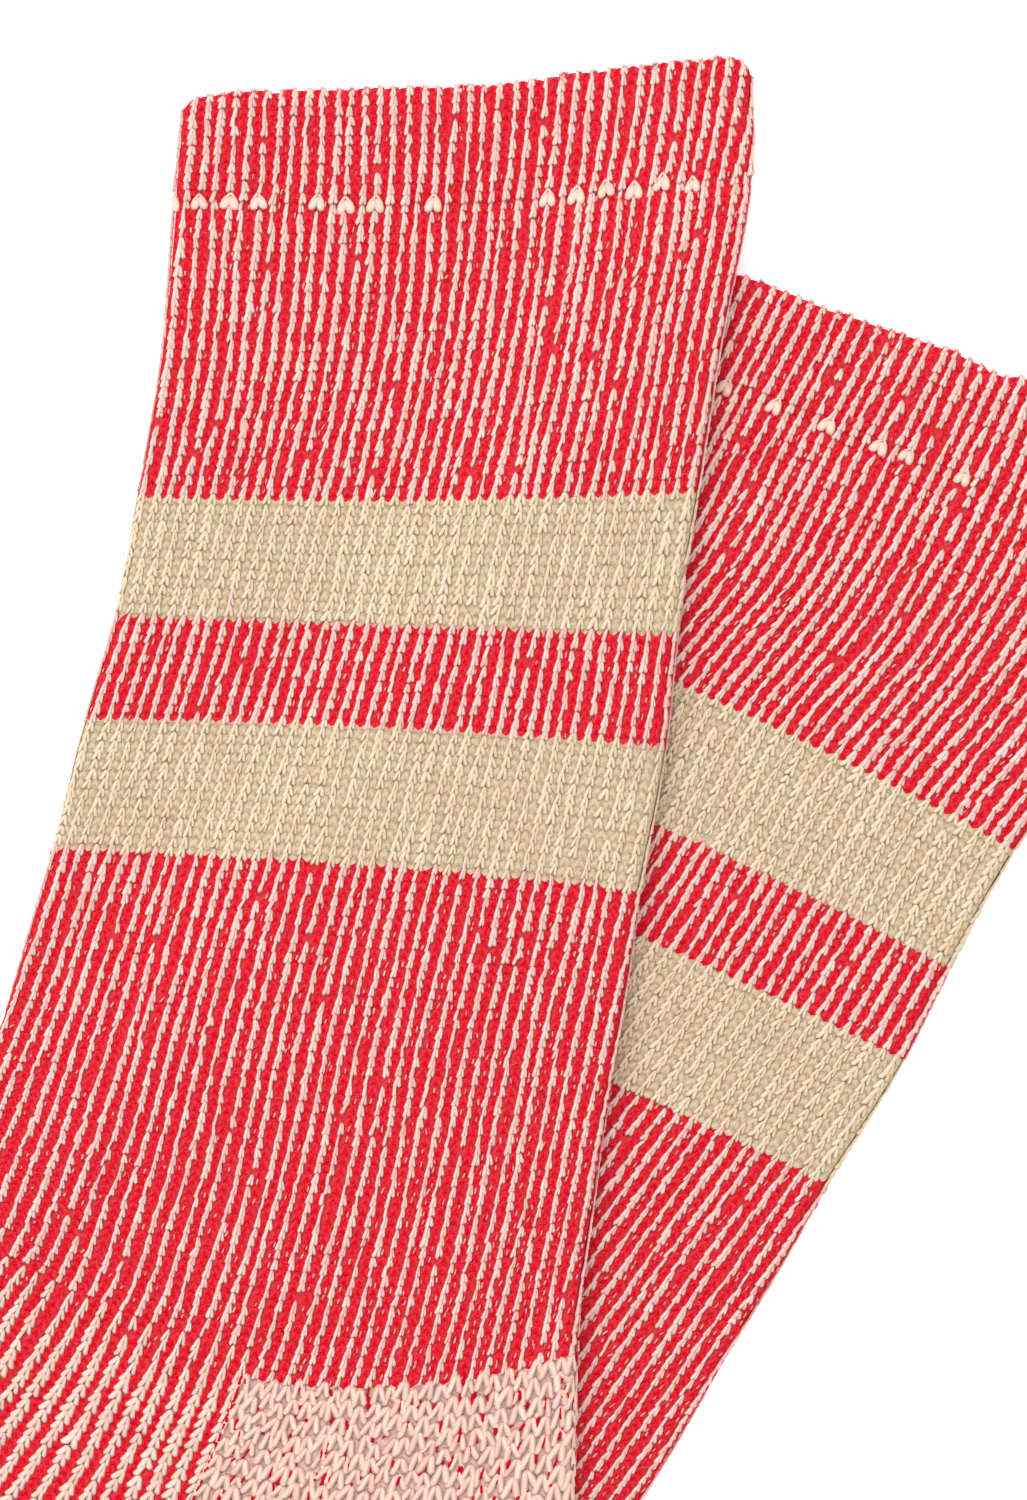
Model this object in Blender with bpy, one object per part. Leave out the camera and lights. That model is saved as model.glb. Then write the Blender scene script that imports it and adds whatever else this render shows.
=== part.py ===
"""Pair of ribbed crew socks, laid flat on their sides, one lying across the other.

Each sock is knitted in one piece, so each is one closed solid: a flattened tube with an
open cuff and a closed toe. The wall is lofted through its courses, the rows of stitches
that run round the leg. Units are metres, +Z is up, and the pair rests on the plane z = 0
with the middle of its footprint at the origin. The leg of the upper sock runs along Y.
"""

import math
from collections import namedtuple

import bpy
import numpy as np

MM = 0.001

# Cloth
WALL = 1.7 * MM              # one layer of cushioned rib knit
HOLLOW = 0.8 * MM            # slit left between the two layers
MOUTH = 1.4 * MM             # the same slit at the cuff, which stands a little open
MOUTH_DEPTH = 22 * MM        # how far down the leg the mouth closes
LAP_GAP = 0.3 * MM           # between the two socks where one lies on the other

# Ribs and welt
RIBS = 41                    # raised ribs on the face that shows, fold to fold
RIB_HEIGHT = 0.55 * MM       # crest above the groove beside it
WELT_SWELL = 0.2 * MM        # the turned cuff is doubled, so it stands a little proud
TUCK_GROOVE = 0.25 * MM      # where the turned cuff is knitted in
TUCK_HALF_WIDTH = 1.5 * MM
LIP = 0.6 * MM               # rounding of the cuff's edge

# Drape of the upper sock
RAMP = 26 * MM               # width over which it comes down beside the sock under it
LEDGE = 2 * MM               # it stays up this far past the other sock's edge

# Mesh
RING_STEP = 12.5 * MM
TOE_RING_STEP = 7 * MM       # closer where the outline rounds
HOLLOW_RING_STEP = 20 * MM
UNDER_POINTS = 11            # along the plain underside
HOLLOW_POINTS = 11           # across each side of the slit
TOE_ROUNDING = (0.8, 0.42)   # height of the last rings, as a share of the full height
TOE_ROUNDING_STEP = 1.3 * MM
UNDER_START = 0.44           # where the underside starts, as a share of the fold's radius

FOOT_TURN = {"sock_upper": 0.0, "sock_under": -22.3}    # degrees, seen from above

# Courses that give the outline, in millimetres: the front fold runs down the shin and
# along the instep, the back fold down the calf, round the heel and along the sole, and
# the side line is midway between them. cloth is the knit that starts at the course.
Course = namedtuple("Course", "name cloth front_x front_y side_x side_y back_x back_y")
UPPER_LEG = (
    ("cuff", "rib", 18.9, 162.1, 62.3, 163.6, 105.5, 167.3),
    ("welt_base", "rib", 17.8, 146.4, 61.9, 145.8, 106.1, 150.1),
    ("upper_leg", "rib", 16.0, 121.4, 59.1, 121.1, 100.9, 124.3),
    ("stripe_1_top", "stripe", 11.8, 101.2, 54.8, 100.6, 97.5, 101.8),
    ("stripe_1_end", "rib", 8.3, 83.0, 51.3, 81.3, 94.3, 79.9),
    ("stripe_2_top", "stripe", 3.9, 67.2, 48.0, 66.0, 92.5, 62.9),
    ("stripe_2_end", "rib", -1.3, 47.3, 43.5, 45.2, 88.8, 40.9),
    ("low_leg", "rib", -8.0, 23.6, 38.5, 19.5, 85.3, 18.7),
    ("ankle", "rib", -14.5, 4.9, 34.2, -7.8, 81.6, -5.8),
    ("heel_top", "foot", -20.0, -10.4, 27.9, -33.2, 78.9, -29.8),
)
UNDER_LEG = (
    ("cuff", "rib", 97.4, 137.0, 137.3, 122.3, 178.0, 105.8),
    ("welt_base", "rib", 90.5, 121.7, 130.1, 107.0, 172.7, 87.1),
    ("upper_leg", "rib", 79.0, 100.6, 118.6, 84.9, 158.7, 65.7),
    ("stripe_1_top", "stripe", 67.4, 83.4, 105.8, 67.5, 145.1, 47.5),
    ("stripe_1_end", "rib", 57.1, 64.6, 96.3, 48.8, 135.2, 29.3),
    ("stripe_2_top", "stripe", 47.3, 50.1, 88.2, 34.1, 128.4, 15.3),
    ("stripe_2_end", "rib", 35.1, 31.7, 76.4, 15.2, 116.7, -3.6),
    ("low_leg", "rib", 20.6, 13.6, 61.9, -6.5, 104.7, -24.6),
    ("ankle", "rib", 7.0, -0.4, 47.2, -29.5, 91.9, -46.3),
    ("heel_top", "foot", -3.8, -12.4, 31.7, -50.9, 81.0, -66.2),
)
# The foot, measured from the side line at heel_top and turned by FOOT_TURN
FOOT = (
    ("heel_1", "foot", -54.0, 11.6, -6.0, -15.6, 50.5, -15.3),
    ("heel_2", "foot", -61.4, 1.8, -12.7, -30.0, 49.4, -34.6),
    ("heel_3", "foot", -69.6, -6.4, -23.7, -42.2, 43.9, -50.6),
    ("heel_4", "foot", -78.2, -13.5, -38.7, -51.7, 30.1, -61.5),
    ("foot_1", "foot", -90.1, -20.5, -57.1, -60.3, 1.1, -75.0),
    ("foot_2", "foot", -106.8, -28.3, -80.9, -70.5, -31.1, -90.0),
    ("foot_3", "foot", -127.4, -37.9, -106.0, -81.2, -66.2, -106.5),
    ("foot_4", "foot", -142.7, -45.9, -123.7, -84.8, -97.6, -120.9),
    ("toe_start", "toe", -161.4, -56.4, -143.8, -94.2, -122.5, -130.8),
    ("toe_1", "toe", -174.3, -68.6, -159.7, -101.6, -142.4, -134.0),
    ("toe_2", "toe", -181.9, -81.2, -171.1, -106.9, -158.2, -132.0),
    ("toe_tip", "toe", -184.2, -94.4, -178.2, -110.2, -169.9, -124.9),
)

# Average colours of each knit, linear RGB
CLOTHS = {
    "rib": ("red_and_cream_rib", (0.78, 0.13, 0.14)),
    "stripe": ("beige_stripe", (0.67, 0.52, 0.34)),
    "cream": ("cream_foot_knit", (0.84, 0.68, 0.56)),
}
COTTON_ROUGHNESS = 0.92
SHARP_ANGLE = math.radians(60)


def clear_scene():
    for item in list(bpy.data.objects):
        bpy.data.objects.remove(item, do_unlink=True)


def fold_points(course):
    """The front, side and back point of a row of the tables."""
    front = (course.front_x, course.front_y)
    side = (course.side_x, course.side_y)
    back = (course.back_x, course.back_y)
    return np.array((front, side, back)) * MM


class Outline:
    """A sock's outline in plan: smooth front, side and back lines through its courses."""

    def __init__(self, leg, turn):
        leg = [Course(*row) for row in leg]
        foot = [Course(*row) for row in FOOT]
        angle = math.radians(turn)
        spin = np.array(((math.cos(angle), math.sin(angle)), (-math.sin(angle), math.cos(angle))))
        leg_points = [fold_points(course) for course in leg]
        foot_points = [fold_points(course) @ spin + leg_points[-1][1] for course in foot]
        self.courses = np.array(leg_points + foot_points)
        self.cloths = [course.cloth for course in leg + foot]
        steps = np.linalg.norm(np.diff(self.courses[:, 1], axis=0), axis=1)
        self.down = np.concatenate(((0.0,), np.cumsum(steps)))
        self.named = {course.name: down for course, down in zip(leg + foot, self.down)}
        slopes = np.diff(self.courses, axis=0) / steps[:, None, None]
        shares = (steps[1:] / (steps[1:] + steps[:-1]))[:, None, None]
        between = slopes[:-1] * shares + slopes[1:] * (1 - shares)
        self.tangents = np.concatenate((slopes[:1], between, slopes[-1:]))

    def course_at(self, down):
        """Front, side and back point of the course that lies this far down the sock."""
        row = int(np.clip(np.searchsorted(self.down, down) - 1, 0, len(self.down) - 2))
        span = self.down[row + 1] - self.down[row]
        t = (down - self.down[row]) / span
        start = (1 + 2 * t) * (1 - t) ** 2 * self.courses[row]
        start = start + t * (1 - t) ** 2 * span * self.tangents[row]
        end = t * t * (3 - 2 * t) * self.courses[row + 1]
        return start + end + t * t * (t - 1) * span * self.tangents[row + 1]

    def across(self, down, share):
        """Points on a course, from its front fold at share 0 to its back fold at 1."""
        front, side, back = self.course_at(down)
        share = np.asarray(share)[..., None]
        bow = side * 4 * share * (1 - share)
        return front * (2 * share - 1) * (share - 1) + bow + back * share * (2 * share - 1)

    def width(self, down):
        points = self.across(down, np.linspace(0, 1, 25))
        return np.linalg.norm(np.diff(points, axis=0), axis=1).sum()

    def cloth_at(self, down):
        return self.cloths[int(np.clip(np.searchsorted(self.down, down, "right") - 1, 0, None))]

    def footprint(self):
        """The sock's closed outline in plan."""
        along = np.linspace(0, self.down[-1], 120)
        folds = np.array([self.course_at(down) for down in along])
        toe = self.across(self.down[-1], np.linspace(0, 1, 7))[1:-1]
        return np.concatenate((folds[:, 0], toe, folds[::-1, 2]))


def distance_to_line(points, line):
    """Shortest distance in plan from each point to a line of many short stretches."""
    start = line[:-1]
    along = line[1:] - start
    to_point = points[:, None] - start[None]
    t = np.clip((to_point * along).sum(axis=2) / (along ** 2).sum(axis=1), 0, 1)
    return np.linalg.norm(to_point - t[..., None] * along, axis=2).min(axis=1)


def distance_outside(points, outline):
    """How far points lie outside a closed outline, and 0 inside it."""
    start = outline
    end = np.roll(outline, -1, axis=0)
    along = end - start
    to_point = points[:, None] - start[None]
    spans = (start[:, 1] > points[:, 1:]) != (end[:, 1] > points[:, 1:])
    side = to_point[..., 0] * along[:, 1] - to_point[..., 1] * along[:, 0]
    crossed = spans & ((side < 0) == (along[:, 1] > 0))
    away = distance_to_line(points, np.vstack((outline, outline[:1])))
    return np.where(crossed.sum(axis=1) % 2 == 1, 0.0, away)


def smooth_step(t):
    t = np.clip(t, 0, 1)
    return t * t * (3 - 2 * t)


def layers_height(down):
    """Height of the two layers and the slit between them."""
    return 2 * WALL + HOLLOW + (MOUTH - HOLLOW) * smooth_step(1 - down / MOUTH_DEPTH)


def half_section(width, height, inset, count):
    """Upper half of a flattened tube: distance from the front fold, height, and outward."""
    radius = height / 2
    turn = math.pi * radius / 2
    around = (np.arange(count) + 0.5) / count * (2 * turn + width - height)
    front = np.clip(around / radius, 0, math.pi / 2)
    back = np.clip((around - turn - (width - height)) / radius, 0, math.pi / 2)
    flat = np.clip(around - turn, 0, width - height)
    out_across = np.sin(back) - np.cos(front)
    out_up = np.sin(front) + np.cos(back) - 1
    across = radius + flat + (radius - inset) * out_across
    return across, radius + (radius - inset) * out_up, out_across, out_up


def rib_share(cloth, share, to_toe):
    """How far the ribs stand up: the heel, sole and toe are plain, the instep is ribbed."""
    if cloth in ("rib", "stripe"):
        return np.ones_like(share)
    instep = smooth_step((0.5 - share) / 0.02 + 0.5)
    return instep * smooth_step(to_toe / (10 * MM))


def place(outline, down, width, across, up, rest):
    """World points of a section, lifted to what the sock rests on."""
    flat = outline.across(down, across / width)
    return np.column_stack((flat, up + rest(flat)))


def outer_ring(outline, down, rest, inset=0.0, flatten=1.0):
    """One course of the outer face: ribs over the top and folds, then the plain underside."""
    width = outline.width(down)
    height = layers_height(down)
    welt_end = outline.named["welt_base"]
    swell = WELT_SWELL if down < welt_end else 0.0
    groove = TUCK_GROOVE * smooth_step(1 - abs(down - welt_end) / TUCK_HALF_WIDTH)
    across, up, out_across, out_up = half_section(width, height, inset, 2 * RIBS)
    to_toe = outline.named["toe_start"] - down
    ribs = rib_share(outline.cloth_at(down), across / width, to_toe)
    crest = np.where(np.arange(2 * RIBS) % 2 == 0, 0.5, -0.5)
    proud = RIB_HEIGHT * crest * ribs + swell - groove
    across = across + proud * out_across
    up = up + proud * out_up
    radius = height / 2
    under = np.linspace(width - radius * UNDER_START, radius * UNDER_START, UNDER_POINTS)
    past_flat = np.maximum(radius - np.minimum(under, width - under), 0)
    under_up = inset + radius - np.sqrt(radius ** 2 - past_flat ** 2)
    across = np.concatenate((across, under))
    up = np.concatenate((up, under_up))
    return place(outline, down, width, across, radius + (up - radius) * flatten, rest)


def hollow_ring(outline, down, rest):
    """One course of the plain inner face."""
    width = outline.width(down)
    height = layers_height(down)
    across, up, _, _ = half_section(width, height, WALL, HOLLOW_POINTS)
    across = np.concatenate((across, across[::-1]))
    up = np.concatenate((up, height - up[::-1]))
    return place(outline, down, width, across, up, rest)


def ring_stations(start, end, step, marks):
    """Distances down the sock for the rings, with one on each marked course between."""
    marks = [start] + [down for down in marks if start + MM < down < end - MM] + [end]
    stations = []
    for near, far in zip(marks, marks[1:]):
        count = max(1, round((far - near) / step))
        stations += [near + (far - near) * i / count for i in range(count)]
    return stations + [end]


def outer_rings(outline, rest):
    """The outer face from lip to toe: each ring's distance down the sock, and its points."""
    welt_end = outline.named["welt_base"]
    toe_start = outline.named["toe_start"]
    toe_tip = outline.down[-1]
    tuck = {welt_end - TUCK_HALF_WIDTH, welt_end + TUCK_HALF_WIDTH}
    marks = sorted(tuck | set(outline.down.tolist()))
    rings = [(0.0, outer_ring(outline, 0.0, rest, inset=LIP))]
    stations = ring_stations(LIP, toe_start, RING_STEP, marks)
    stations += ring_stations(toe_start, toe_tip, TOE_RING_STEP, [])[1:]
    rings += [(down, outer_ring(outline, down, rest)) for down in stations]
    for number, flatten in enumerate(TOE_ROUNDING, 1):
        past = toe_tip + number * TOE_ROUNDING_STEP
        rings.append((past, outer_ring(outline, past, rest, flatten=flatten)))
    return rings


def tube_faces(rings, inward):
    """Quads between rings of equal count, facing out of the tube or into it."""
    faces = []
    for first, second in zip(rings, rings[1:]):
        for i in range(len(first)):
            after = (i + 1) % len(first)
            corners = (first[i], second[i], second[after], first[after])
            faces.append(corners[::-1] if inward else corners)
    return faces


def lip_faces(outer, inner):
    """Triangles over the cuff's edge, between two rings that differ in count."""
    faces = []
    i = j = 0
    while i < len(outer) or j < len(inner):
        behind = (i + 0.5) * len(inner) <= (j + 0.5) * len(outer)
        if behind and i < len(outer):
            faces.append((outer[i], outer[(i + 1) % len(outer)], inner[j % len(inner)]))
            i += 1
        else:
            faces.append((outer[i % len(outer)], inner[(j + 1) % len(inner)], inner[j]))
            j += 1
    return faces


def toe_cap(ring, centre, inward):
    """A fan that closes the last ring of a face."""
    pairs = list(zip(ring, ring[1:] + ring[:1]))
    return [(a, b, centre) if inward else (b, a, centre) for a, b in pairs]


def face_cloth(outline, down, point):
    """The knit of the outer face after a ring's point: heel, sole and toe are cream."""
    cloth = outline.cloth_at(down)
    on_top = point < 2 * RIBS
    along_under = (point - 2 * RIBS + 0.5) / UNDER_POINTS
    share = (point + 1) / (2 * RIBS) if on_top else 1 - along_under
    if cloth == "toe" or (cloth == "foot" and share > 0.5):
        return "cream"
    return "rib" if cloth == "foot" else cloth


def loft_sock(name, outline, rest):
    """The sock's wall in one body: outer face from cuff to toe, lip and inner face."""
    outer = outer_rings(outline, rest)
    inner_end = outline.down[-1] - WALL
    inner_stations = ring_stations(0.0, inner_end, HOLLOW_RING_STEP, outline.down.tolist())
    inner = [hollow_ring(outline, down, rest) for down in inner_stations]
    points = [ring for _, ring in outer] + inner
    points += [points[len(outer) - 1].mean(axis=0)[None], inner[-1].mean(axis=0)[None]]

    numbers = []
    for ring in points:
        begin = numbers[-1][-1] + 1 if numbers else 0
        numbers.append(list(range(begin, begin + len(ring))))
    outer_numbers = numbers[:len(outer)]
    inner_numbers = numbers[len(outer):-2]
    outer_end, inner_end = numbers[-2][0], numbers[-1][0]
    faces = tube_faces(outer_numbers, inward=False)
    faces += tube_faces(inner_numbers, inward=True)
    faces += lip_faces(outer_numbers[0], inner_numbers[0])
    faces += toe_cap(outer_numbers[-1], outer_end, inward=False)
    faces += toe_cap(inner_numbers[-1], inner_end, inward=True)

    downs = [down for down, _ in outer]
    cloths = []
    for near, far in zip(downs, downs[1:]):
        middle = (near + far) / 2
        cloths += [face_cloth(outline, middle, i) for i in range(len(outer_numbers[0]))]
    return make_object(name, np.concatenate(points), faces, cloths)


def knit_material(cloth):
    name, colour = CLOTHS[cloth]
    material = bpy.data.materials.get(name)
    if material is None:
        material = bpy.data.materials.new(name)
        material.use_nodes = True
        shader = material.node_tree.nodes["Principled BSDF"]
        shader.inputs["Base Color"].default_value = (*colour, 1)
        shader.inputs["Roughness"].default_value = COTTON_ROUGHNESS
        shader.inputs["Metallic"].default_value = 0
    return material


def make_object(name, points, faces, cloths):
    mesh = bpy.data.meshes.new(name)
    mesh.from_pydata(points.tolist(), [], faces)
    for cloth in CLOTHS:
        mesh.materials.append(knit_material(cloth))
    slots = list(CLOTHS)
    for polygon, cloth in zip(mesh.polygons, cloths):
        polygon.material_index = slots.index(cloth)
    mesh.shade_smooth()
    mesh.set_sharp_from_angle(angle=SHARP_ANGLE)
    return bpy.data.objects.new(name, mesh)


def floor(points):
    return np.zeros(len(points))


def rest_over(under):
    """The height that the upper sock rests at: over the under sock, and down beside it."""
    edge = under.footprint()
    cuff = under.across(0, np.linspace(0, 1, 9))
    leg_top = layers_height(MOUTH_DEPTH) + RIB_HEIGHT / 2 + LAP_GAP
    cuff_lift = MOUTH - HOLLOW + WELT_SWELL

    def rest(points):
        below_cuff = distance_to_line(points, cuff)
        top = leg_top + cuff_lift * smooth_step(1.5 - below_cuff / MOUTH_DEPTH)
        return top * smooth_step(1 - (distance_outside(points, edge) - LEDGE) / RAMP)

    return rest


def build_pair():
    """The under sock flat on the floor, and the upper one laid over it."""
    collection = bpy.data.collections.new("pair_of_socks")
    bpy.context.scene.collection.children.link(collection)
    under = Outline(UNDER_LEG, FOOT_TURN["sock_under"])
    upper = Outline(UPPER_LEG, FOOT_TURN["sock_upper"])
    collection.objects.link(loft_sock("sock_under", under, floor))
    collection.objects.link(loft_sock("sock_upper", upper, rest_over(under)))


clear_scene()
build_pair()
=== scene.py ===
import math

import bmesh
import bpy
import numpy as np
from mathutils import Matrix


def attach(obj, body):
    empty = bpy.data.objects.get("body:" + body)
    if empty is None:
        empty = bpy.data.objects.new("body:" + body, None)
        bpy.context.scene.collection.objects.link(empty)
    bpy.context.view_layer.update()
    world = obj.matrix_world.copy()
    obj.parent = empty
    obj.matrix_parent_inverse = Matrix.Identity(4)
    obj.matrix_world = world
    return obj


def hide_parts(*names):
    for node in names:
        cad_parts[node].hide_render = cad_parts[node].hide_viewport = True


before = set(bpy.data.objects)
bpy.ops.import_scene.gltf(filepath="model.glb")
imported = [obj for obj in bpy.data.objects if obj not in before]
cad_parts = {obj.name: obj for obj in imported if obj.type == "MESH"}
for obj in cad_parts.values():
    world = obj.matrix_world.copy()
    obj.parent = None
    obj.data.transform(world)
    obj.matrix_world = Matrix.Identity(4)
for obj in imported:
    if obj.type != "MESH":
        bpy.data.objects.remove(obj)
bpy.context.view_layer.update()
mm = 0.001

for shown in bpy.context.selected_objects:
    shown.select_set(False)

# The knit, as its maker would note it down
knit = {
    "wall": 1.7 * mm,          # one layer of cloth
    "hollow": 0.8 * mm,        # slit between the two layers
    "mouth": 1.4 * mm,         # the same slit at the cuff, which stands a little open
    "mouthDepth": 22 * mm,
    "lapGap": 0.3 * mm,        # between the socks where one lies on the other
    "ribs": 41,                # cream wales from fold to fold
    "twist": 4,                # how many of them run over the front fold down to the heel
    "crest": 0.25,             # where in each rib its cream wale stands, from 0 to 1
    "ribHeight": 0.55 * mm,
    "pitch": 2.1 * mm,         # from one cream wale to the next, on average
    "course": 1.52 * mm,       # one row of stitches
    "weltSwell": 0.2 * mm,     # the turned cuff is doubled
    "tuckGroove": 0.25 * mm,   # where it is knitted in
    "tuckHalfWidth": 1.5 * mm,
    "ramp": 26 * mm,           # the upper sock comes down beside the other over this
    "ledge": 2 * mm,
    "toeRound": 2.9 * mm,
}
quarterLip = knit["wall"] / 2 * math.pi / 2

# The cuff's edge
cuffEdge = {
    "fades": 9 * mm,           # how far down the leg its wave is felt
    "scallop": 0.08,           # mm that each cream wale stands past the red ones
    "uneven": 0.22,            # mm from rib to rib
    "underBack": 0.5 * mm,     # the layer below stays behind the one above
}

# Rows of the knit in mm: name, then front fold x y, side line x y, back fold x y
upperSock = {
    "node": "sock_upper",
    "slot": "knit_upper",
    "footTurn": 0.0,
    "seed": 11,
    "cuffFan": 0.19,           # how far the cuff's last wales lean, in mm a mm
    "cuffWave": ((0, -2.0), (0.03, -0.1), (0.1, 0.85), (0.4, 0.5), (0.56, 0.4), (0.68, 1.0),
                 (0.8, 1.25), (0.93, 1.4), (0.98, 0.3), (1, -1.2)),
    "tucks": (0, 2, 4, 6, 10, 12, 14, 18, 26, 28, 30, 32, 34, 36),
    "leg": (
        ("cuff", 18.9, 162.1, 62.3, 163.6, 105.5, 167.3),
        ("weltBase", 17.4, 146.4, 61.9, 145.8, 105.6, 150.1),
        ("upperLeg", 15.3, 121.4, 59.1, 121.1, 100.9, 124.3),
        ("stripe1Top", 11.8, 101.2, 54.8, 100.6, 97.5, 101.8),
        ("stripe1End", 8.3, 83.0, 51.3, 81.3, 94.3, 79.9),
        ("stripe2Top", 3.9, 67.2, 48.0, 66.0, 92.5, 62.9),
        ("stripe2End", -1.3, 47.3, 43.5, 45.2, 88.8, 40.9),
        ("lowLeg", -8.0, 23.6, 38.5, 19.5, 85.3, 18.7),
        ("ankle", -14.5, 4.9, 34.2, -7.8, 81.6, -5.8),
        ("heelTop", -20.0, -10.4, 27.9, -33.2, 78.9, -29.8),
    ),
}
underSock = {
    "node": "sock_under",
    "slot": "knit_under",
    "footTurn": -22.3,
    "seed": 29,
    "cuffFan": -0.06,
    "cuffWave": ((0, -0.4), (0.1, 0.2), (1, 0.2)),
    "tucks": (2, 6, 10, 14, 18, 20, 24, 30, 32, 36, 38),
    "leg": (
        ("cuff", 97.4, 137.0, 137.3, 122.3, 178.0, 105.8),
        ("weltBase", 90.5, 121.7, 130.1, 107.0, 172.7, 87.1),
        ("upperLeg", 79.0, 100.6, 118.6, 84.9, 159.4, 65.5),
        ("stripe1Top", 67.4, 83.4, 105.8, 67.5, 146.1, 47.1),
        ("stripe1End", 57.1, 64.6, 96.3, 48.8, 136.2, 28.9),
        ("stripe2Top", 47.3, 50.1, 88.2, 34.1, 129.1, 15.0),
        ("stripe2End", 35.1, 31.7, 76.4, 15.2, 117.7, -4.0),
        ("lowLeg", 20.6, 13.6, 61.9, -6.5, 105.3, -24.9),
        ("ankle", 7.0, -0.4, 47.2, -29.5, 92.5, -46.6),
        ("heelTop", -3.8, -12.4, 31.7, -50.9, 81.0, -66.2),
    ),
}
# The foot of both, from the side line at heelTop
foot = (
    ("heel1", -54.0, 11.6, -6.0, -15.6, 50.5, -15.3),
    ("heel2", -61.4, 1.8, -12.7, -30.0, 49.4, -34.6),
    ("heel3", -69.6, -6.4, -23.7, -42.2, 43.9, -50.6),
    ("heel4", -78.2, -13.5, -38.7, -51.7, 30.1, -61.5),
    ("foot1", -90.1, -20.5, -57.1, -60.3, 1.1, -75.0),
    ("foot2", -106.8, -28.3, -80.9, -70.5, -31.1, -90.0),
    ("foot3", -127.4, -37.9, -106.0, -81.2, -66.2, -106.5),
    ("foot4", -142.7, -45.9, -123.7, -84.8, -97.6, -120.9),
    ("toeStart", -161.4, -56.4, -143.8, -94.2, -122.5, -130.8),
    ("toe1", -174.3, -68.6, -159.7, -101.6, -142.4, -134.0),
    ("toe2", -181.9, -81.2, -171.1, -106.9, -158.2, -132.0),
    ("toeTip", -184.2, -94.4, -178.2, -110.2, -169.9, -124.9),
)


def smoothStep(t):
    t = np.clip(t, 0, 1)
    return t * t * (3 - 2 * t)


# The sock as a chart: q runs down the cloth from the cuff's edge, c counts ribs, from 0 at the
# front fold over the face to 41 at the back fold, and on under it, and proud stands out of it
def readRows(sock):
    leg = np.array([row[1:] for row in sock["leg"]]).reshape(-1, 3, 2) * mm
    turn = math.radians(sock["footTurn"])
    spin = np.array(((math.cos(turn), math.sin(turn)), (-math.sin(turn), math.cos(turn))))
    below = np.array([row[1:] for row in foot]).reshape(-1, 3, 2) * mm @ spin + leg[-1, 1]
    rows = np.concatenate((leg, below))
    steps = np.linalg.norm(np.diff(rows[:, 1], axis=0), axis=1)
    slopes = np.diff(rows, axis=0) / steps[:, None, None]
    part = (steps[1:] / (steps[1:] + steps[:-1]))[:, None, None]
    between = slopes[:-1] * part + slopes[1:] * (1 - part)
    sock["rows"] = rows
    sock["down"] = np.concatenate(((0.0,), np.cumsum(steps)))
    sock["tangents"] = np.concatenate((slopes[:1], between, slopes[-1:]))
    sock["end"] = sock["down"][-1]
    names = [row[0] for row in sock["leg"] + foot]
    sock["at"] = {name: down + quarterLip - knit["wall"] / 2 for name, down in zip(names, sock["down"])}
    tickCount = 600
    shares = np.linspace(0, 1, 25)
    ticks = np.linspace(0, sock["end"] + 4 * mm, tickCount)
    spread = planPoints(sock, np.repeat(ticks, len(shares)), np.tile(shares, tickCount))
    runs = np.diff(spread.reshape(tickCount, len(shares), 2), axis=1)
    ripple = np.random.default_rng(sock["seed"]).normal(size=2 * knit["ribs"] + 4)
    sock["ripple"] = ripple * cuffEdge["uneven"]
    sock["ticks"] = ticks
    sock["widths"] = np.linalg.norm(runs, axis=2).sum(axis=1)


def rowPoints(sock, down):
    marks = sock["down"]
    row = np.clip(np.searchsorted(marks, down) - 1, 0, len(marks) - 2)
    span = marks[row + 1] - marks[row]
    t = ((down - marks[row]) / span)[:, None, None]
    span = span[:, None, None]
    points = (1 + 2 * t) * (1 - t) ** 2 * sock["rows"][row]
    points += t * (1 - t) ** 2 * span * sock["tangents"][row]
    points += t * t * (3 - 2 * t) * sock["rows"][row + 1]
    points += t * t * (t - 1) * span * sock["tangents"][row + 1]
    return points


def planPoints(sock, down, share):
    lines = rowPoints(sock, down)
    share = share[:, None]
    front = lines[:, 0] * (2 * share - 1) * (share - 1)
    return front + lines[:, 1] * 4 * share * (1 - share) + lines[:, 2] * share * (2 * share - 1)


def layersHeight(down):
    opening = smoothStep(1 - down / knit["mouthDepth"])
    return 2 * knit["wall"] + knit["hollow"] + (knit["mouth"] - knit["hollow"]) * opening


def rimLength(sock, q):
    down = np.maximum(q - quarterLip + knit["wall"] / 2, 0)
    radius = layersHeight(down) / 2
    return np.interp(down, sock["ticks"], sock["widths"]) + (math.pi - 2) * radius


def pitchAt(sock, q):
    return rimLength(sock, q) / knit["ribs"]


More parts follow.
